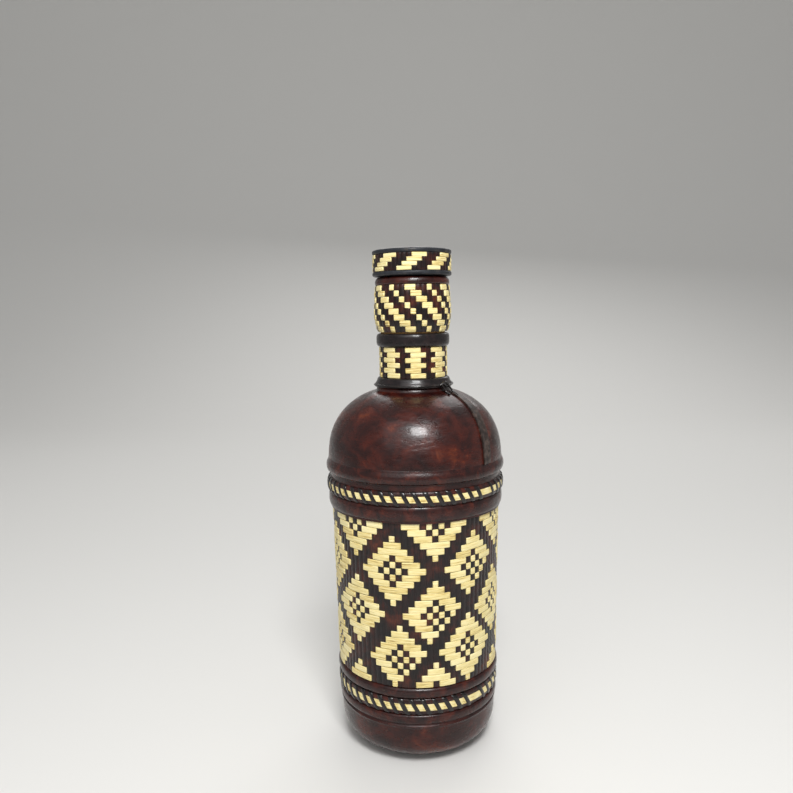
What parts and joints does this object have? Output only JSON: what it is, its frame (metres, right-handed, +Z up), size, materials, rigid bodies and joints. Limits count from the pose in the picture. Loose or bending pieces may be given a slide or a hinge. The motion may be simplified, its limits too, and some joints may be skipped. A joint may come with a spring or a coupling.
{
  "type": "leather-covered water bottle",
  "caption": "Cylindrical water bottle with a domed shoulder, covered in dark leather and woven straw, with a pull-out wooden stopper.",
  "frame": {"origin": "centre of the foot's flat face, on the table", "axes": "+Z up along the bottle's axis to the mouth; -Y is the front, and the side seam is 48 degrees to its right"},
  "size_m": [0.101, 0.101, 0.28],
  "materials": {
    "gourd_shell": "dried gourd rind, smooth outside and fibrous inside",
    "dark_leather": "glazed dark reddish-brown goatskin, worn glossy",
    "black_leather": "black dyed leather, waxed",
    "straw": "split straw splints, satin with fine fibres",
    "collar_wood": "turned softwood, unfinished",
    "peg_wood": "pale turned wood, worn and chipped",
    "worn_leather": "brown leather worn through to the flesh side",
    "charcoal_leather": "blue-black leather, dusty and rubbed"
  },
  "bodies": {
    "bottle": {"gourd_shell": "gourd_shell", "base_cover": "dark_leather", "base_bead": "dark_leather", "lower_edging_core": "dark_leather", "lower_edging_splint": "straw", "lower_edging_lace": "black_leather", "panel_lower_roll": "dark_leather", "panel_strips": "dark_leather", "panel_straw": "straw", "panel_upper_roll": "dark_leather", "upper_edging_core": "dark_leather", "upper_edging_splint": "straw", "upper_edging_lace": "black_leather", "shoulder_roll": "dark_leather", "shoulder_cover": "dark_leather", "side_seam": "dark_leather", "neck_foot_ring": "black_leather", "neck_lacing": "black_leather", "neck_strips": "black_leather", "neck_straw": "straw", "neck_bead": "black_leather", "collar_core": "collar_wood", "collar_strips": "dark_leather", "collar_straw": "straw", "mouth_rim": "dark_leather"},
    "stopper": {"stopper_plug": "peg_wood", "stopper_washer": "worn_leather", "stopper_underside": "charcoal_leather", "stopper_lower_edge": "charcoal_leather", "stopper_strips": "black_leather", "stopper_straw": "straw", "stopper_upper_edge": "charcoal_leather", "stopper_top": "black_leather"}
  },
  "joints": [
    {"name": "stopper_lift", "type": "slide", "parent": "bottle", "child": "stopper", "axis": [0, 0, 1], "range_m": [0, 0.06]}
  ]
}
